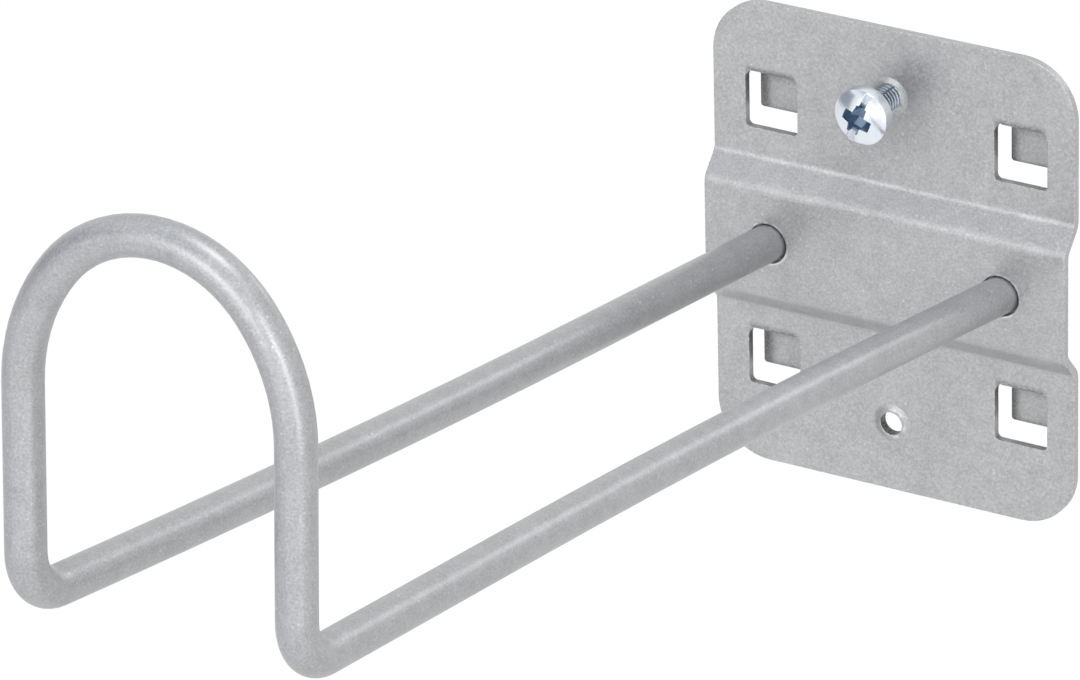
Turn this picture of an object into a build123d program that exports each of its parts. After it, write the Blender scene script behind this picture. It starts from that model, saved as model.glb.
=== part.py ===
from build123d import *
from math import cos, radians, sin, sqrt, tan
import os

# A cable holder that hooks into a panel with square holes. One wire is bent into two long arms
# and an upright arch, and its two ends are welded into a formed sheet-metal plate.
# The back of the plate lies on the panel, in the plane y = 0, and the arms reach towards -Y.
# The origin is the centre of the square of four hooks. Everything is in millimetres.

# Sheet and plate outline
sheet = 1.1
plate_width = 55.0
plate_height = 67.5
plate_corner_radius = 8.0
plate_centre_x = -0.4
plate_centre_z = -0.55

# Raised band across the middle, with a sloped flank above and below it
band_centre_z = -0.4
band_offset = 2.87
band_half_height = 7.6
band_flank_angle = 42.0
fold_radius = 1.45

# Square holes of the panel, and the hooks cut and bent out of the plate
panel_pitch = 38.0
window_width = 8.0
window_height = 8.45
window_top_radius = 1.5
window_bottom_radius = 0.7
hook_side_gap = 0.55
hook_outward_shift = 0.17
hook_panel_gap = 2.4
hook_slope = 72.0
hook_tip_gap = 1.7
hook_tip_radius = 0.45
hook_fold_radius = 0.6

# Screw holes, each with a low lip raised towards the front
screw_hole_spacing = 48.0
screw_hole_x = -0.75
screw_hole_middle_z = -0.4
tapped_hole_diameter = 3.3
lip_base_diameter = 5.4
lip_rim_diameter = 4.0
lip_height = 0.3

# Securing screw, half driven: size M4, with its thread drawn as a plain pitch cylinder
screw_pitch_diameter = 3.545
screw_running_clearance = 0.03
screw_length = 8.0
screw_standoff = 6.3
screw_tip_chamfer = 0.5
head_diameter = 8.0
head_height = 3.1
head_crown_radius = 6.5
head_rim_chamfer = 0.3
slot_width = 1.2
slot_depth = 1.9
cross_width = 1.2
cross_span = 4.7
cross_depth = 2.4
slot_angle = 64.0

# Wire, bent into arms, feet, legs and arch
wire_diameter = 5.18
wire_hole_clearance = 0.3
arm_spread_at_plate = 35.7
arm_height_at_plate = -0.9
arm_reach = 177.5
arm_rise = 22.55
arm_bow = 2.4
arm_bow_radius = 2000.0
left_bow_share = 0.6
right_bow_share = 0.4
foot_bend_radius = 6.65
loop_centre_x = -0.55
loop_spread = 38.3
loop_lean = 3.1
leg_height = 28.1
arch_rise = 22.2
arch_crown_radius = 17.5
wire_end_gap = 1.0

# Weld round each wire end, behind the band
weld_leg = 1.5
weld_height = 1.3
weld_crown = 0.4

wire_radius = wire_diameter / 2
band_front = -(band_offset + sheet)
upper_hole_z = screw_hole_middle_z + screw_hole_spacing / 2
lower_hole_z = screw_hole_middle_z - screw_hole_spacing / 2
head_underside = -(sheet + screw_standoff)


def formed_sheet():
    """The folded plate without holes: one profile along X, trimmed to the rounded outline."""
    middle = -sheet / 2
    top = plate_centre_z + plate_height / 2
    bottom = plate_centre_z - plate_height / 2
    band_top = band_centre_z + band_half_height
    band_bottom = band_centre_z - band_half_height
    flank_run = band_offset / tan(radians(band_flank_angle))
    points = [
        (middle, top),
        (middle, band_top + flank_run),
        (middle - band_offset, band_top),
        (middle - band_offset, band_bottom),
        (middle, band_bottom - flank_run),
        (middle, bottom),
    ]
    path = FilletPolyline(*points, radius=fold_radius + sheet / 2)
    profile = Plane.YZ * trace(path, sheet)
    band = extrude(profile, plate_width / 2, both=True)
    outline = RectangleRounded(plate_width, plate_height, plate_corner_radius)
    blank_depth = 2 * (band_offset + sheet)
    blank = extrude(Plane.XZ * Pos(0, plate_centre_z) * outline, blank_depth, both=True)
    return Pos(plate_centre_x, 0, 0) * (band & blank)


def window_outline():
    """A square window whose upper corners are rounder than its lower ones."""
    outline = Rectangle(window_width, window_height)
    corners = outline.vertices().group_by(Axis.Y)
    outline = fillet(corners[-1], window_top_radius)
    corners = outline.vertices().group_by(Axis.Y)
    return fillet(corners[0], window_bottom_radius)


def hook():
    """A tongue that leaves the top edge of its window, slopes back and hangs behind the panel."""
    root = window_height / 2
    front = -sheet / 2
    back = hook_panel_gap + sheet / 2
    slope_drop = (back - front) / tan(radians(hook_slope))
    points = [
        (front, root + window_top_radius),
        (front, root),
        (back, root - slope_drop),
        (back, hook_tip_gap - window_height / 2),
    ]
    path = FilletPolyline(*points, radius=hook_fold_radius + sheet / 2)
    width = window_width - 2 * hook_side_gap
    tongue = extrude(Plane.YZ * trace(path, sheet), width / 2, both=True)
    tip = tongue.edges().filter_by(Axis.Y).group_by(Axis.Z)[0]
    return fillet(tip, hook_tip_radius)


def arm_point(side, y):
    """The straight line of one arm at a depth y: its centre in space."""
    share = -y / arm_reach
    centre = plate_centre_x + (loop_centre_x - plate_centre_x) * share
    spread = arm_spread_at_plate + (loop_spread - arm_spread_at_plate) * share
    return Vector(centre + side * spread / 2, y, arm_height_at_plate + arm_rise * share)


def bow_point(side):
    """The corner that the slight inward bow of one arm is rounded from."""
    share = left_bow_share if side < 0 else right_bow_share
    return arm_point(side, -arm_reach * share) - Vector(side * arm_bow, 0, 0)


def plate_point(side, y):
    """The centre of one arm close to the plate, on its way to the bow."""
    start, corner = arm_point(side, 0), bow_point(side)
    return start + (corner - start) * (y / corner.Y)


def back_plate():
    plate = formed_sheet()
    window = extrude(Plane.XZ * window_outline(), sheet * 2, both=True)
    for column in (-1, 1):
        for row in (-1, 1):
            place = Pos(column * panel_pitch / 2, 0, row * panel_pitch / 2)
            plate -= place * window
            plate += place * Pos(column * hook_outward_shift, 0, 0) * hook()
    on_base = (Align.CENTER, Align.CENTER, Align.MIN)
    screw_hole_radius = screw_pitch_diameter / 2 + screw_running_clearance
    for z, radius in ((upper_hole_z, screw_hole_radius), (lower_hole_z, tapped_hole_diameter / 2)):
        lip = Cone(lip_base_diameter / 2, lip_rim_diameter / 2, lip_height, align=on_base)
        lip = Pos(0, -sheet, 0) * Rot(90, 0, 0) * lip
        hole = extrude(Plane.XZ * Circle(radius), 2 * sheet, both=True)
        place = Pos(screw_hole_x, 0, z)
        plate = plate + place * lip - place * hole
    for side in (-1, 1):
        centre = plate_point(side, band_front + sheet / 2)
        hole = extrude(Plane.XZ * Circle(wire_radius + wire_hole_clearance), sheet, both=True)
        plate -= Location(centre) * hole
    return plate


def wire_loop():
    """One wire swept along arm, foot bend, leg, three-centred arch, leg, foot bend and arm."""
    lean = radians(loop_lean)
    foot_middle = Vector(loop_centre_x, -arm_reach, arm_height_at_plate + arm_rise)
    loop_plane = Plane(foot_middle, x_dir=(1, 0, 0), z_dir=(0, -cos(lean), sin(lean)))

    def in_loop(x, z):
        return loop_plane.from_local_coords(Vector(x, z, 0))

    half = loop_spread / 2
    crown_drop = arch_rise - arch_crown_radius
    side_radius = (half**2 + crown_drop**2 - arch_crown_radius**2) / (2 * (half - arch_crown_radius))
    crown_centre = Vector(0, leg_height + crown_drop)
    side_centre = Vector(half - side_radius, leg_height)
    to_joint = (crown_centre - side_centre).normalized()
    joint = crown_centre + to_joint * arch_crown_radius
    to_middle = (to_joint + Vector(1, 0)).normalized()
    side_middle = side_centre + to_middle * side_radius
    crown = leg_height + arch_rise

    left = FilletPolyline(
        plate_point(-1, -wire_end_gap),
        bow_point(-1),
        in_loop(-half, 0),
        in_loop(-half, leg_height),
        radius=[arm_bow_radius, foot_bend_radius],
    )
    left_side = ThreePointArc(
        in_loop(-half, leg_height),
        in_loop(-side_middle.X, side_middle.Y),
        in_loop(-joint.X, joint.Y),
    )
    top = ThreePointArc(in_loop(-joint.X, joint.Y), in_loop(0, crown), in_loop(joint.X, joint.Y))
    right_side = ThreePointArc(
        in_loop(joint.X, joint.Y),
        in_loop(side_middle.X, side_middle.Y),
        in_loop(half, leg_height),
    )
    right = FilletPolyline(
        in_loop(half, leg_height),
        in_loop(half, 0),
        bow_point(1),
        plate_point(1, -wire_end_gap),
        radius=[foot_bend_radius, arm_bow_radius],
    )
    path = Wire([*left.edges(), left_side, top, right_side, *right.edges()])
    section = Plane(path @ 0, z_dir=path % 0) * Circle(wire_radius)
    return sweep(section, path)


def weld(side, wire):
    """A fillet bead that fills the corner between the band's back and the wire."""
    centre = plate_point(side, -band_offset)
    foot = wire_radius + weld_leg
    crown = wire_radius + weld_crown
    outline = Polyline((0, 0), (foot, 0), (crown, weld_height), (0, weld_height), close=True)
    bead = revolve(make_face(outline), Axis.Y)
    return Location(centre) * bead - wire


def securing_screw():
    """Pan head with a long slot and a short cross, on a plain shank with a chamfered tip."""
    rim = head_diameter / 2
    crown_drop = head_crown_radius - sqrt(head_crown_radius**2 - rim**2)
    rim_top = (rim, head_height - crown_drop)
    outline = Polyline((0, head_height), (0, 0), (rim, 0), rim_top)
    outline += RadiusArc(rim_top, (0, head_height), -head_crown_radius)
    section = make_face(outline)
    rim_corner = section.vertices().group_by(Axis.X)[-1].sort_by(Axis.Y)[-1]
    head = revolve(chamfer(rim_corner, head_rim_chamfer), Axis.Y)
    shank = extrude(Plane.XZ * Circle(screw_pitch_diameter / 2), screw_length)
    shank = chamfer(shank.edges().group_by(Axis.Y)[0], screw_tip_chamfer)
    screw = head + shank
    slot = Box(head_diameter * 2, slot_depth * 2, slot_width)
    cross = Box(cross_width, cross_depth * 2, cross_span)
    spine = Box(cross_span, cross_depth * 2, cross_width)
    recess = Pos(0, head_height, 0) * Rot(0, -slot_angle, 0) * (slot + cross + spine)
    screw -= recess
    return Pos(screw_hole_x, head_underside, upper_hole_z) * Rot(180, 0, 0) * screw


os.makedirs("parts", exist_ok=True)
wire = wire_loop()
export_step(back_plate(), "parts/back_plate.step")
export_step(wire, "parts/wire_loop.step")
export_step(weld(-1, wire), "parts/weld_left.step")
export_step(weld(1, wire), "parts/weld_right.step")
export_step(securing_screw(), "parts/securing_screw.step")
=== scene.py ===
import math

import bmesh
import bpy
from mathutils import Matrix, Vector


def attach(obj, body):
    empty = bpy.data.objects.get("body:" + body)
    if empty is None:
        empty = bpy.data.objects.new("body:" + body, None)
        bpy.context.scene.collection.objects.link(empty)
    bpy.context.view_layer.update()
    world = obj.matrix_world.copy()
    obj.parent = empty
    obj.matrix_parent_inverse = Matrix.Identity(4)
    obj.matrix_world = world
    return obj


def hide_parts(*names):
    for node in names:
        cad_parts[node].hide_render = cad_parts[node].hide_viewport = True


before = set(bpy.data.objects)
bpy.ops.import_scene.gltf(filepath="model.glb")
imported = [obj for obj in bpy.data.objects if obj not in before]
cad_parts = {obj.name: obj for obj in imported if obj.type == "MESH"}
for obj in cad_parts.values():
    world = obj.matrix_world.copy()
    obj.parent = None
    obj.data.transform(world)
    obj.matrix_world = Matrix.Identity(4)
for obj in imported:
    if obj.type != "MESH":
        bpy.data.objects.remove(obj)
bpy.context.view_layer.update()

MM = 0.001

# Plate: four windows in a square round the origin, a pair of screw holes, a pair of wire holes
PANEL_PITCH = 38.0 * MM
HOLE_SPACING = 48.0 * MM
HOLE_MIDDLE_Z = -0.4 * MM
WIRE_HOLE_SPREAD = 35.54 * MM
WIRE_HOLE_MIDDLE = (-0.42 * MM, -0.47 * MM)

# Depths along Y, which grow to the back: only the band is in front of the first, and only the
# hooks are behind the second
BAND_DEPTH = -3.5 * MM
BEHIND_SHEET = (0.5 * MM, 1.5 * MM)

# Camera: aimed at a point between the arms, from the right, above and in front
IMAGE_WIDTH = 1080
FOCAL_PIXELS = 9257.45
SENSOR = 36.0
TARGET = Vector((-13.58, -70.0, 13.20)) * MM
AZIMUTH = math.radians(31.86)
ELEVATION = math.radians(24.877)
ROLL = math.radians(-1.407)
DISTANCE = 1187.157 * MM
FAR_CLIP = 20

# Securing screw: size M4, half driven, with a cross and a slot in its pan head
HEAD_RADIUS = 4.0 * MM
HEAD_HEIGHT = 3.1 * MM
HEAD_CROWN_RADIUS = 6.5 * MM
HEAD_RIM_ROUND = 0.8 * MM
HEAD_UNDERSIDE = -7.4 * MM
SCREW_X = -0.75 * MM
SCREW_Z = HOLE_MIDDLE_Z + HOLE_SPACING / 2
SHANK_LENGTH = 8.0 * MM
SHANK_OVERLAP = 0.4 * MM
THREAD_PITCH = 0.7 * MM
THREAD_CREST_RADIUS = 1.97 * MM
THREAD_ROOT_RADIUS = 1.58 * MM
TIP_CHAMFER = 0.5 * MM
SLOT_WIDTH = 0.95 * MM
SLOT_DEPTH = 1.32 * MM
CROSS_SPAN = 4.3 * MM
CROSS_WIDTH = 1.55 * MM
CROSS_DEPTH = 2.6 * MM
RECESS_ANGLE = math.radians(68.0)
HEAD_SEGMENTS = 96
CROWN_STEPS = 14
THREAD_SEGMENTS = 48
SHARP_ANGLE = math.radians(32)

# Powder coat: scales are in cells a metre, and shades are shares of the tint
FLAKE_SCALE = 5200.0
GRIT_SCALE = 3200.0
PEEL_SCALE = 900.0
SPECK_SCALE = 640.0
BLOTCH_SCALE = 420.0
MOTTLE_SCALE = 90.0
GRIT_SHADE = 0.15
BLOTCH_SHADE = 0.05
MOTTLE_SHADE = 0.03
FLAKE_SHADE = 0.15
# Painted shade: under the tongues' folds, down their left sides, left of the screw lips and in the
# bores; the last is the most that all painted shade together may take off
FOLD_SHADE = 0.42
SIDE_SHADE = 0.45
LEFT_LIP_SHADE = 0.28
BORE_SHADE = 0.35
DARKEST_SHADE = 0.88
COAT_ROUGHNESS = (0.31, 0.43)
EDGE_ROUND = 0.2 * MM
HOOK_ROUND = 0.6 * MM
CAVITY_REACH = 5 * MM
PEEL_HEIGHT = 0.06 * MM
SHEET_TINT = (0.466, 0.468, 0.474)
WIRE_TINT = (0.435, 0.438, 0.452)
# Bare metal of worn edges, burrs and specks, which on the edges and lips is also a painted highlight
BARE_METAL_AND_HIGHLIGHT = (0.72, 0.73, 0.75, 1)

# Where the coat's marks start and where they are complete, as pairs: painted shade, painted
# highlights, burrs and worn edges.
# On the tongues: from the middle of a window, and along Y
FOLD_BELOW = (1.3 * MM, 2.9 * MM)
FOLD_ABOVE = (4.9 * MM, 4.2 * MM)
FOLD_BESIDE = (4.1 * MM, 3.3 * MM)
SIDE_WIDTH = (-1.9 * MM, -2.8 * MM)
SIDE_DEPTH = (-0.95 * MM, -0.6 * MM)

# Round the holes: from the middle of a screw hole or of a wire
# Burrs with a painted highlight on the screw lips, stronger to the right, painted shade left of the
# lips and in the bores, and burrs on the wire rims
LIP_OUTSIDE = (2.4 * MM, 2.0 * MM)
LIP_INSIDE = (1.75 * MM, 1.85 * MM)
LIP_HIGHLIGHT_TO_RIGHT = (-1.0 * MM, 0.8 * MM)
LIP_HIGHLIGHT = (0.1, 0.8)
LIP_SHADE_RADIUS = (3.0 * MM, 2.2 * MM)
LIP_SHADE_TO_LEFT = (0.2 * MM, -1.4 * MM)
BORE_RADIUS = (2.0 * MM, 1.85 * MM)
WIRE_RIM = (3.3 * MM, 3.05 * MM)

# On the faces: by the share of the normal along Y or Z, along Y, and by how sharp an edge is
WALL_TURN = (0.7, 0.2)
FORWARD_TURN = (-0.2, -0.7)
# Painted highlight along the upper folds
FOLD_HIGHLIGHT_TURN = (0.1, 0.3)
FOLD_HIGHLIGHT_END_TURN = (0.62, 0.45)
FOLD_HIGHLIGHT_DEPTH = (-3.0 * MM, -2.0 * MM)
FOLD_HIGHLIGHT_AT_BAND = 0.35
EDGE_BEND = (0.995, 0.85)

# By a noise, or by the open air round a place: where there are four numbers, the last two are
# the results
EDGE_GRIT = (0.45, 0.6)
BURR_PEEL = (0.46, 0.54)
# Painted light: the fold highlight broken by blotches, and painted shade on side walls with little
# open air round them
FOLD_HIGHLIGHT_BLOTCH = (0.4, 0.6, 0.06, 0.2)
WALL_GRIT = (0.35, 0.65, 0.75, 1.1)
WALL_SHADE_BY_AIR = (0.97, 0.6, 0.1, 0.9)
FLAKE_CHOICE = (0.90, 0.97, 0.0, FLAKE_SHADE)
SPECK_CHOICE = (0.62, 0.66)
SPECK_RADIUS = (0.13, 0.05, 0.0, 0.6)

# Zinc plate
CLOUD_SCALE = 700.0
FINE_SCALE = 5000.0
ZINC_ROUGHNESS = (0.14, 0.26)
RECESS_ROUGHNESS = 0.55
ZINC_ROUND = 0.1 * MM
ZINC_CAVITY_REACH = 1.6 * MM
SCRATCH_HEIGHT = 0.02 * MM
RECESS_BELOW_CROWN = (0.5 * MM, 0.8 * MM)
ZINC_CAVITY_AIR = (0.93, 0.6)
DEEP_RADIUS = (2.35 * MM, 2.1 * MM)
ZINC_DULL = (0.66, 0.72, 0.80, 1)
ZINC_BRIGHT = (0.84, 0.87, 0.90, 1)
THREAD_SHADOW = (0.10, 0.14, 0.19, 1)
RECESS_SHADOW = (0.25, 0.34, 0.45, 1)

# Studio: each lamp or card has its direction in degrees, width and height in metres, and
# radiance or colour
LAMP_DISTANCE = 1.6
LAMPS = (
    ("front_left", -7, 18, 0.75, 0.6, 2.5),
    ("front_fill", 5, 6, 2.0, 1.0, 0.45),
    ("right_strip", 53, 1, 0.3, 1.75, 3.6),
    ("right_glint", 46, 22, 0.28, 0.28, 5.0),
    ("overhead", 90, 80, 0.65, 0.65, 3.9),
    ("rear", 161, 22, 0.5, 0.32, 2.3),
)
CARD_DISTANCE = 1.7
CARDS = (
    ("dark_card", -71, 14, 1.7, 1.1, (0.34, 0.37, 0.42, 1)),
    ("blue_card", -36, 62, 1.0, 0.8, (0.68, 0.75, 0.9, 1)),
)
FLOOR_REACH = 6.0
FLOOR_HEIGHT = -0.35
FLOOR_GREY = (0.45, 0.45, 0.45, 1)
FLOOR_LIFT = 0.55
FILL_LOSS = 0.1
WHITE = (1, 1, 1, 1)

SQUARE = ((-1, -1), (1, -1), (1, 1), (-1, 1))


def add_camera():
    back = direction(AZIMUTH, ELEVATION)
    right = Vector((math.cos(AZIMUTH), math.sin(AZIMUTH), 0))
    up = back.cross(right)
    across = math.cos(ROLL) * right + math.sin(ROLL) * up
    upward = -math.sin(ROLL) * right + math.cos(ROLL) * up
    data = bpy.data.cameras.new("camera")
    data.sensor_width = SENSOR
    data.lens = FOCAL_PIXELS / IMAGE_WIDTH * SENSOR
    data.clip_end = FAR_CLIP
    camera = bpy.data.objects.new("camera", data)
    turn = Matrix((across, upward, back)).transposed().to_4x4()
    camera.matrix_world = Matrix.Translation(TARGET + back * DISTANCE) @ turn
    bpy.context.collection.objects.link(camera)
    bpy.context.scene.camera = camera


def direction(azimuth, elevation):
    """The way from the object: azimuth 0 is the front and 90 the right side."""
    level = math.cos(elevation)
    return Vector((math.sin(azimuth) * level, -math.cos(azimuth) * level, math.sin(elevation)))


class Graph:
    """Short ways to add and link shader nodes."""

    def __init__(self, owner):
        owner.use_nodes = True
        self.tree = owner.node_tree
        self.tree.nodes.clear()

    def put(self, socket, value):
        if isinstance(value, bpy.types.NodeSocket):
            self.tree.links.new(value, socket)
        else:
            socket.default_value = value

    def node(self, kind, inputs=None, **settings):
        made = self.tree.nodes.new("ShaderNode" + kind)
        for name, value in settings.items():
            setattr(made, name, value)
        for name, value in (inputs or {}).items():
            self.put(made.inputs[name], value)
        return made

    def math(self, operation, a, b=0.0):
        made = self.node("Math", operation=operation)
        self.put(made.inputs[0], a)
        self.put(made.inputs[1], b)
        return made.outputs[0]

    def chain(self, operation, first, *others):
        for other in others:
            first = self.math(operation, first, other)
        return first

    def product(self, *values):
        return self.chain("MULTIPLY", *values)

    def total(self, *values):
        return self.chain("ADD", *values)

    def ramp(self, value, start, end, at_start=0.0, at_end=1.0):
        """A straight change from one output to the other, level before the start and after the end."""
        inputs = {"Value": value, "From Min": start, "From Max": end}
        inputs.update({"To Min": at_start, "To Max": at_end})
        return self.node("MapRange", inputs).outputs["Result"]

    def spread(self, noise, low, high):
        """A noise, which mostly stays between 0.3 and 0.7, spread from low to high."""
        return self.ramp(noise, 0.3, 0.7, low, high)

    def mix(self, factor, a, b):
        made = self.node("Mix", data_type="RGBA")
        for socket, value in zip((made.inputs[0], made.inputs[6], made.inputs[7]), (factor, a, b)):
            self.put(socket, value)
        return made.outputs[2]

    def noise(self, place, scale, detail=2.0):
        inputs = {"Vector": place, "Scale": scale, "Detail": detail}
        return self.node("TexNoise", inputs).outputs["Fac"]

    def cells(self, place, scale):
        """Cells of one size: three random numbers for each cell, and the way to its centre."""
        made = self.node("TexVoronoi", {"Vector": place, "Scale": scale})
        numbers = self.node("SeparateColor", {"Color": made.outputs["Color"]}).outputs
        return numbers, made.outputs["Distance"]

    def length(self, x, y):
        flat = self.node("CombineXYZ", {"X": x, "Y": y}).outputs[0]
        return self.node("VectorMath", {0: flat}, operation="LENGTH").outputs["Value"]

    def rounded(self, radius, samples):
        return self.node("Bevel", {"Radius": radius}, samples=samples).outputs["Normal"]

    def open_air(self, reach):
        """The share of free directions round a place, within reach: 1 on an open face."""
        made = self.node("AmbientOcclusion", {"Distance": reach}, samples=8, only_local=True)
        return made.outputs["AO"]

    def finish(self, shader, kind="OutputMaterial"):
        out = self.node(kind)
        self.tree.links.new(shader, out.inputs["Surface"])


def from_window(g, value):
    """A coordinate measured from the middle of the nearest window."""
    return g.math("SUBTRACT", value, g.math("MULTIPLY", g.math("SIGN", value), PANEL_PITCH / 2))


def from_pair(g, value, middle, spacing):
    """A coordinate measured outwards from the nearer one of two holes."""
    outwards = g.math("ABSOLUTE", g.math("SUBTRACT", value, middle))
    return g.math("SUBTRACT", outwards, spacing / 2)


def tongue_shade(g, x, depth, z):
    """Painted shade on each tongue: under its fold, and down its left side."""
    window_x, window_z = from_window(g, x), from_window(g, z)
    fold = g.product(
        g.ramp(window_z, *FOLD_BELOW),
        g.ramp(window_z, *FOLD_ABOVE),
        g.ramp(g.math("ABSOLUTE", window_x), *FOLD_BESIDE, 0.0, FOLD_SHADE),
    )
    side = g.product(
        g.ramp(window_x, *SIDE_WIDTH, 0.0, SIDE_SHADE),
        g.ramp(depth, *SIDE_DEPTH),
    )
    return g.math("MAXIMUM", fold, side)


def burrs_and_lip_highlight(g, hole_x, radius, x, depth, z, peel):
    """Bright patches on the lips of the screw holes and on the rims round the wires: burrs, and on the
    lips also a painted highlight that grows to the right.
    """
    lip_highlight = g.product(
        g.ramp(radius, *LIP_OUTSIDE),
        g.ramp(radius, *LIP_INSIDE),
        g.ramp(hole_x, *LIP_HIGHLIGHT_TO_RIGHT, *LIP_HIGHLIGHT),
    )
    wire_x = from_pair(g, x, WIRE_HOLE_MIDDLE[0], WIRE_HOLE_SPREAD)
    wire_z = g.math("SUBTRACT", z, WIRE_HOLE_MIDDLE[1])
    rim = g.product(
        g.ramp(g.length(wire_x, wire_z), *WIRE_RIM),
        g.math("LESS_THAN", depth, BAND_DEPTH),
    )
    return g.product(g.math("MAXIMUM", lip_highlight, rim), g.ramp(peel, *BURR_PEEL))


def painted_fold_highlight(g, normal_z, depth, forward, blotch):
    """Painted highlights along the two upper folds, broken up, weaker on the one at the band."""
    return g.product(
        g.ramp(normal_z, *FOLD_HIGHLIGHT_TURN),
        g.ramp(normal_z, *FOLD_HIGHLIGHT_END_TURN),
        forward,
        g.ramp(blotch, *FOLD_HIGHLIGHT_BLOTCH),
        g.ramp(depth, *FOLD_HIGHLIGHT_DEPTH, FOLD_HIGHLIGHT_AT_BAND, 1.0),
    )


def specks(g, place):
    """Small bright specks in some of the cells."""
    numbers, centre_distance = g.cells(place, SPECK_SCALE)
    chosen = g.ramp(numbers[0], *SPECK_CHOICE)
    return g.product(chosen, g.ramp(centre_distance, *SPECK_RADIUS))


def powder_coat(name, tint, burrs_and_painted_light):
    """Metallic powder coat: flakes, soft orange peel, a slight mottle and thinly coated edges, with a
    painted highlight on the edges and painted shade on side walls in tight places and in the holes.

    With burrs_and_painted_light at 1 it also has the pressed sheet's burrs, its painted highlights on
    the screw lips and folds, and its painted shade on the tongues and left of the screw lips.
    """
    material = bpy.data.materials.new(name)
    g = Graph(material)
    place = g.node("TexCoord").outputs["Object"]
    x, depth, z = g.node("SeparateXYZ", {0: place}).outputs
    flake = g.cells(place, FLAKE_SCALE)[0]
    grit = g.noise(place, GRIT_SCALE, 3.0)
    blotch = g.noise(place, BLOTCH_SCALE, 3.0)
    mottle = g.noise(place, MOTTLE_SCALE)
    peel = g.noise(place, PEEL_SCALE)

    front = g.ramp(depth, *BEHIND_SHEET, 1.0, 0.0)
    flat = g.node("NewGeometry").outputs["Normal"]
    soft_edge = g.rounded(g.ramp(depth, *BEHIND_SHEET, EDGE_ROUND, HOOK_ROUND), samples=8)
    bend = g.node("VectorMath", {0: soft_edge, 1: flat}, operation="DOT_PRODUCT").outputs["Value"]
    _, normal_y, normal_z = g.node("SeparateXYZ", {0: flat}).outputs
    facing = g.math("ABSOLUTE", normal_y)
    forward = g.ramp(normal_y, *FORWARD_TURN)
    hole_x = g.math("SUBTRACT", x, SCREW_X)
    radius = g.length(hole_x, from_pair(g, z, HOLE_MIDDLE_Z, HOLE_SPACING))

    # Edges lighter: a thin coat, and partly a painted highlight
    edge_wear_and_highlight = g.product(g.ramp(bend, *EDGE_BEND), g.ramp(grit, *EDGE_GRIT), front)
    burr_and_highlight = g.product(burrs_and_lip_highlight(g, hole_x, radius, x, depth, z, peel), front, burrs_and_painted_light)
    speck = g.product(specks(g, place), front)
    bare_and_highlight = g.chain("MAXIMUM", edge_wear_and_highlight, burr_and_highlight, speck)

    # Painted shade: side walls darker where little open air is round them
    wall_shade = g.product(
        g.ramp(facing, *WALL_TURN),
        g.ramp(grit, *WALL_GRIT),
        g.ramp(g.open_air(CAVITY_REACH), *WALL_SHADE_BY_AIR),
    )
    # Painted shade on the left side of the screw lips
    lip_shade = g.product(
        g.ramp(radius, *LIP_SHADE_RADIUS),
        g.ramp(hole_x, *LIP_SHADE_TO_LEFT, 0.0, LEFT_LIP_SHADE),
    )
    # Painted shade on the tongues and left of the screw lips
    tongue_and_lip_shade = g.product(g.total(tongue_shade(g, x, depth, z), lip_shade), forward, burrs_and_painted_light)
    # Painted shade inside the screw holes
    bore_shade = g.product(
        g.ramp(radius, *BORE_RADIUS),
        g.ramp(facing, *WALL_TURN, 0.0, BORE_SHADE),
    )
    # All the painted shade together, at most DARKEST_SHADE
    painted_shade = g.math("MINIMUM", g.total(wall_shade, tongue_and_lip_shade, bore_shade), DARKEST_SHADE)

    # Tone: random grit, blotches, mottle and flakes, plus the painted fold highlight, less the painted
    # shade
    shade = g.total(
        g.spread(grit, -GRIT_SHADE, GRIT_SHADE),
        g.spread(blotch, -BLOTCH_SHADE, BLOTCH_SHADE),
        g.spread(mottle, -MOTTLE_SHADE, MOTTLE_SHADE),
        g.ramp(flake[0], *FLAKE_CHOICE),
        g.product(painted_fold_highlight(g, normal_z, depth, forward, blotch), burrs_and_painted_light),
        g.math("SUBTRACT", 1.0, painted_shade),
    )
    colour = g.node("VectorMath", {0: tint, "Scale": shade}, operation="SCALE").outputs[0]
    height = g.total(g.product(peel, 0.7), g.product(flake[1], 0.3))
    bump = {"Height": height, "Strength": 0.5, "Distance": PEEL_HEIGHT, "Normal": soft_edge}
    surface = {
        "Base Color": g.mix(bare_and_highlight, colour, BARE_METAL_AND_HIGHLIGHT),
        "Roughness": g.spread(grit, *COAT_ROUGHNESS),
        "Normal": g.node("Bump", bump).outputs["Normal"],
        "Metallic": 0.55,
        "Specular IOR Level": 0.4,
    }
    g.finish(g.node("BsdfPrincipled", surface).outputs[0])
    return material


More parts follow.
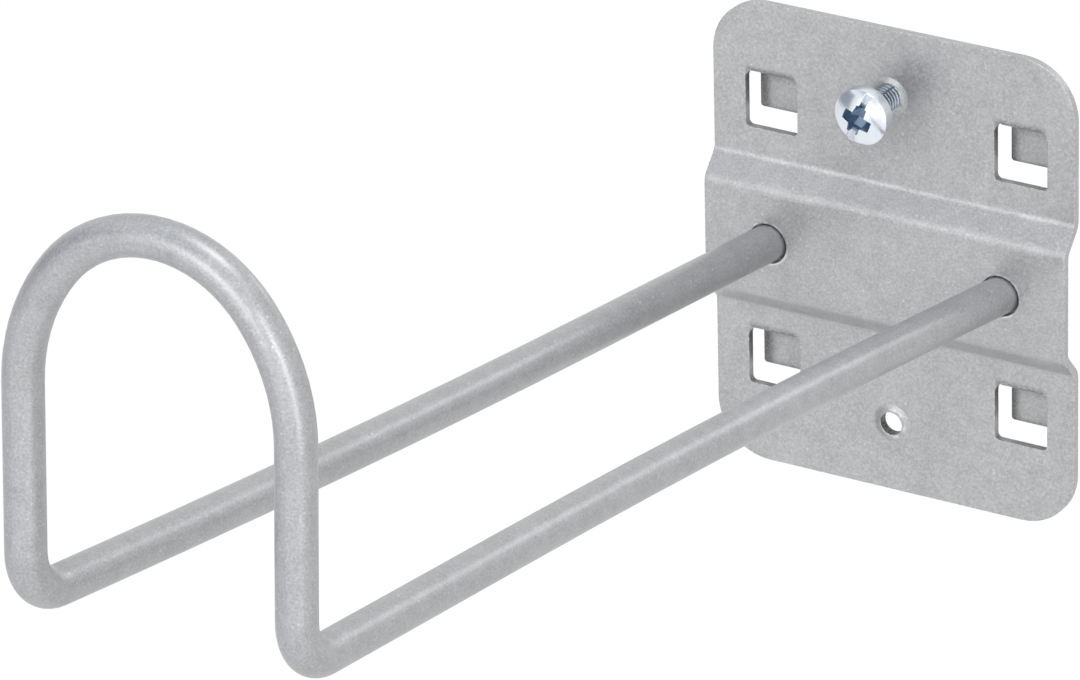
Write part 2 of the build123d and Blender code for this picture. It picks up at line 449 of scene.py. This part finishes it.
def zinc(name):
    """Bright bluish zinc plate: cloudy and finely scratched, with painted shade in the recess and
    along the thread, and duller in the recess.
    """
    material = bpy.data.materials.new(name)
    g = Graph(material)
    place = g.node("TexCoord").outputs["Object"]
    x, depth, z = g.node("SeparateXYZ", {0: place}).outputs
    cloud = g.noise(place, CLOUD_SCALE, 3.0)
    fine = g.noise(place, FINE_SCALE)

    radius = g.length(g.math("SUBTRACT", x, SCREW_X), g.math("SUBTRACT", z, SCREW_Z))
    crown = HEAD_UNDERSIDE - HEAD_HEIGHT
    recess_depths = [crown + below for below in RECESS_BELOW_CROWN]
    in_head = g.math("LESS_THAN", depth, HEAD_UNDERSIDE - 0.1 * MM)
    recess = g.product(g.ramp(depth, *recess_depths), in_head)
    # Painted shade in the recess and where the thread is closed in
    cavity_shade = g.ramp(g.open_air(ZINC_CAVITY_REACH), *ZINC_CAVITY_AIR)
    deep_shade = g.product(g.math("MAXIMUM", cavity_shade, recess), g.ramp(radius, *DEEP_RADIUS))
    shadow = g.mix(in_head, THREAD_SHADOW, RECESS_SHADOW)
    dull = g.product(deep_shade, in_head, RECESS_ROUGHNESS)
    bump = {"Height": fine, "Strength": 0.25, "Distance": SCRATCH_HEIGHT}
    bump["Normal"] = g.rounded(ZINC_ROUND, samples=6)
    surface = {
        "Base Color": g.mix(deep_shade, g.mix(cloud, ZINC_DULL, ZINC_BRIGHT), shadow),
        "Roughness": g.math("MAXIMUM", g.spread(cloud, *ZINC_ROUGHNESS), dull),
        "Normal": g.node("Bump", bump).outputs["Normal"],
        "Metallic": 1.0,
    }
    g.finish(g.node("BsdfPrincipled", surface).outputs[0])
    return material


def dress(node, material):
    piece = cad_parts[node]
    piece.data.materials.clear()
    piece.data.materials.append(material)


def add_lathe(mesh, rows, segments):
    """Closed solid of turning, added to a bmesh.

    Each row is a radius, a depth and a rise, which is spread over one turn.
    """
    rings = []
    for radius, depth, rise in rows:
        ring = []
        for step in range(segments):
            share = step / segments
            turn = 2 * math.pi * share
            place = (radius * math.cos(turn), radius * math.sin(turn), depth + rise * share)
            ring.append(mesh.verts.new(place))
        rings.append(ring)
    join_rings(mesh, rings)
    mesh.faces.new(list(reversed(rings[0])))
    mesh.faces.new(rings[-1])


def join_rings(mesh, rings):
    """Four-sided faces between each ring of points and the next."""
    count = len(rings[0])
    for first, second in zip(rings, rings[1:]):
        for step in range(count):
            after = (step + 1) % count
            mesh.faces.new((first[step], first[after], second[after], second[step]))


def head_rows():
    """The pan head's outline from its underside, at depth 0, up to its crown."""
    crown_centre = HEAD_HEIGHT - HEAD_CROWN_RADIUS
    rim_turn = math.asin((HEAD_RADIUS - HEAD_RIM_ROUND / 2) / HEAD_CROWN_RADIUS)
    rim_top = crown_centre + HEAD_CROWN_RADIUS * math.cos(rim_turn)
    rows = [
        (HEAD_RADIUS * 0.98, 0, 0),
        (HEAD_RADIUS, 0.06 * MM, 0),
        (HEAD_RADIUS, rim_top - HEAD_RIM_ROUND, 0),
        (HEAD_RADIUS - 0.08 * HEAD_RIM_ROUND, rim_top - 0.4 * HEAD_RIM_ROUND, 0),
    ]
    for step in range(CROWN_STEPS):
        turn = rim_turn * (1 - step / CROWN_STEPS)
        height = crown_centre + HEAD_CROWN_RADIUS * math.cos(turn)
        rows.append((HEAD_CROWN_RADIUS * math.sin(turn), height, 0))
    return rows


def recess_cutter(mesh):
    """The cross, which narrows as it goes deeper to a blunt cone, from above the crown downwards."""
    levels = ((0.6 * MM, 1.08), (0, 1.0), (-0.75 * CROSS_DEPTH, 0.78), (-CROSS_DEPTH, 0.3))
    rings = []
    for depth, share in levels:
        tip = CROSS_SPAN / 2 * share
        side = CROSS_WIDTH / 2 * (0.7 + 0.3 * share)
        root = side * 1.15
        ring = []
        for wing in range(4):
            turn = Matrix.Rotation(wing * math.pi / 2, 3, "Z")
            for x, y in ((root, -root), (tip, -side), (tip, side)):
                place = turn @ Vector((max(x, root), y, 0))
                ring.append(mesh.verts.new((place.x, place.y, HEAD_HEIGHT + depth)))
        rings.append(ring)
    join_rings(mesh, rings)
    mesh.faces.new(rings[0])
    mesh.faces.new(list(reversed(rings[-1])))


def slot_cutter(mesh):
    half_length, half_width = HEAD_RADIUS * 1.2, SLOT_WIDTH / 2
    rings = []
    for height in (HEAD_HEIGHT - SLOT_DEPTH, HEAD_HEIGHT * 1.3):
        places = [(x * half_length, y * half_width, height) for x, y in SQUARE]
        rings.append([mesh.verts.new(place) for place in places])
    join_rings(mesh, rings)
    mesh.faces.new(list(reversed(rings[0])))
    mesh.faces.new(rings[-1])


def thread_rows():
    """The threaded shank, from its tip up into the head.

    Each turn of the helix has a root, a flank and a crest.
    """
    rows = [(THREAD_ROOT_RADIUS, SHANK_OVERLAP, 0), (THREAD_ROOT_RADIUS, -0.02 * MM, 0)]
    profile = (
        (0.0, 0.0), (0.12, 0.0), (0.28, 0.5), (0.44, 1.0), (0.56, 1.0), (0.72, 0.5), (0.88, 0.0),
    )
    turns = int((SHANK_LENGTH - THREAD_PITCH) / THREAD_PITCH)
    for turn in range(turns):
        for share, height in profile:
            radius = THREAD_ROOT_RADIUS + (THREAD_CREST_RADIUS - THREAD_ROOT_RADIUS) * height
            depth = -(turn + share) * THREAD_PITCH - 0.1 * MM
            to_tip = max(SHANK_LENGTH + depth - THREAD_PITCH, 0)
            radius = min(radius, THREAD_ROOT_RADIUS - TIP_CHAMFER / 2 + to_tip)
            rows.append((radius, depth, -THREAD_PITCH))
    rows.append((THREAD_ROOT_RADIUS - TIP_CHAMFER / 2, -SHANK_LENGTH + TIP_CHAMFER / 2, 0))
    rows.append((THREAD_ROOT_RADIUS - TIP_CHAMFER, -SHANK_LENGTH, 0))
    return list(reversed(rows))


def mesh_object(name, build, *arguments):
    """A mesh object that a builder fills as a bmesh."""
    shape = bmesh.new()
    build(shape, *arguments)
    bmesh.ops.recalc_face_normals(shape, faces=shape.faces)
    mesh = bpy.data.meshes.new(name)
    shape.to_mesh(mesh)
    shape.free()
    piece = bpy.data.objects.new(name, mesh)
    bpy.context.collection.objects.link(piece)
    return piece


def cut_away(piece, cutter):
    cut = piece.modifiers.new("recess", "BOOLEAN")
    cut.operation = "DIFFERENCE"
    cut.solver = "EXACT"
    cut.object = cutter
    bpy.context.view_layer.update()
    graph = bpy.context.evaluated_depsgraph_get()
    piece.data = bpy.data.meshes.new_from_object(piece.evaluated_get(graph))
    piece.modifiers.clear()
    bpy.data.objects.remove(cutter)


def securing_screw(material):
    head = mesh_object("screw_head", add_lathe, head_rows(), HEAD_SEGMENTS)
    cutters = mesh_object("cross_cutter", recess_cutter), mesh_object("slot_cutter", slot_cutter)
    for cutter in cutters:
        cut_away(head, cutter)
    shank = mesh_object("screw_thread", add_lathe, thread_rows(), THREAD_SEGMENTS)
    whole = bmesh.new()
    turn = Matrix.Rotation(RECESS_ANGLE, 4, "Z")
    for piece in (head, shank):
        piece.data.transform(turn)
        whole.from_mesh(piece.data)
        bpy.data.objects.remove(piece)
    mesh = bpy.data.meshes.new("screw_with_thread")
    whole.to_mesh(mesh)
    whole.free()
    place = Matrix.Translation((SCREW_X, HEAD_UNDERSIDE, SCREW_Z))
    mesh.transform(place @ Matrix.Rotation(math.pi / 2, 4, "X"))
    mesh.shade_smooth()
    mesh.set_sharp_from_angle(angle=SHARP_ANGLE)
    screw = bpy.data.objects.new("screw_with_thread", mesh)
    bpy.context.collection.objects.link(screw)
    mesh.materials.clear()
    mesh.materials.append(material)
    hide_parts("securing_screw")
    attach(screw, "screw")


def studio_world():
    """An even white surround, a little weaker where it only fills."""
    world = bpy.data.worlds.new("studio")
    bpy.context.scene.world = world
    g = Graph(world)
    seen = g.node("LightPath").outputs["Is Diffuse Ray"]
    strength = g.math("SUBTRACT", 1.0, g.product(seen, FILL_LOSS))
    light = g.node("Background", {"Color": WHITE, "Strength": strength})
    g.finish(light.outputs[0], "OutputWorld")


def soft_box(name, azimuth, elevation, width, height, radiance):
    """A rectangular light: its direction in degrees, its size in metres and its brightness."""
    toward = direction(math.radians(azimuth), math.radians(elevation))
    data = bpy.data.lights.new(name, "AREA")
    data.shape = "RECTANGLE"
    data.size = width
    data.size_y = height
    data.energy = radiance * math.pi * width * height
    lamp = bpy.data.objects.new(name, data)
    lamp.location = TARGET + toward * LAMP_DISTANCE
    lamp.rotation_euler = toward.to_track_quat("Z", "Y").to_euler()
    bpy.context.collection.objects.link(lamp)


def sheet(name, half_width, half_length, height=0.0):
    """A flat rectangle with a material of its own, and the graph of that material."""
    mesh = bpy.data.meshes.new(name)
    corners = [(x * half_width, y * half_length, height) for x, y in SQUARE]
    mesh.from_pydata(corners, [], [(0, 1, 2, 3)])
    piece = bpy.data.objects.new(name, mesh)
    bpy.context.collection.objects.link(piece)
    material = bpy.data.materials.new(name)
    mesh.materials.append(material)
    return piece, Graph(material)


def floor():
    """A pale floor that keeps its shadows, lifted to white for the eye and for reflections."""
    ground, g = sheet("floor", FLOOR_REACH, FLOOR_REACH, FLOOR_HEIGHT)
    path = g.node("LightPath")
    seen = g.math("MAXIMUM", path.outputs["Is Camera Ray"], path.outputs["Is Glossy Ray"])
    matt = g.node("BsdfDiffuse", {"Color": FLOOR_GREY})
    lift = g.node("Emission", {"Color": WHITE, "Strength": g.product(seen, FLOOR_LIFT)})
    both = g.node("AddShader")
    g.tree.links.new(matt.outputs[0], both.inputs[0])
    g.tree.links.new(lift.outputs[0], both.inputs[1])
    g.finish(both.outputs[0])


def card(name, azimuth, elevation, width, height, colour):
    """A plain card that the shiny parts mirror: its direction in degrees and size in metres."""
    toward = direction(math.radians(azimuth), math.radians(elevation))
    piece, g = sheet(name, width / 2, height / 2)
    piece.location = TARGET + toward * CARD_DISTANCE
    piece.rotation_euler = toward.to_track_quat("Z", "Y").to_euler()
    g.finish(g.node("Emission", {"Color": colour}).outputs[0])


def main():
    add_camera()
    bpy.context.scene.view_settings.view_transform = "Standard"
    dress("back_plate", powder_coat("sheet_coat", SHEET_TINT, burrs_and_painted_light=1.0))
    wire_coat = powder_coat("wire_coat", WIRE_TINT, burrs_and_painted_light=0.0)
    for node in ("wire_loop", "weld_left", "weld_right"):
        dress(node, wire_coat)
    securing_screw(zinc("zinc"))
    studio_world()
    floor()
    for lamp in LAMPS:
        soft_box(*lamp)
    for plain_card in CARDS:
        card(*plain_card)


main()
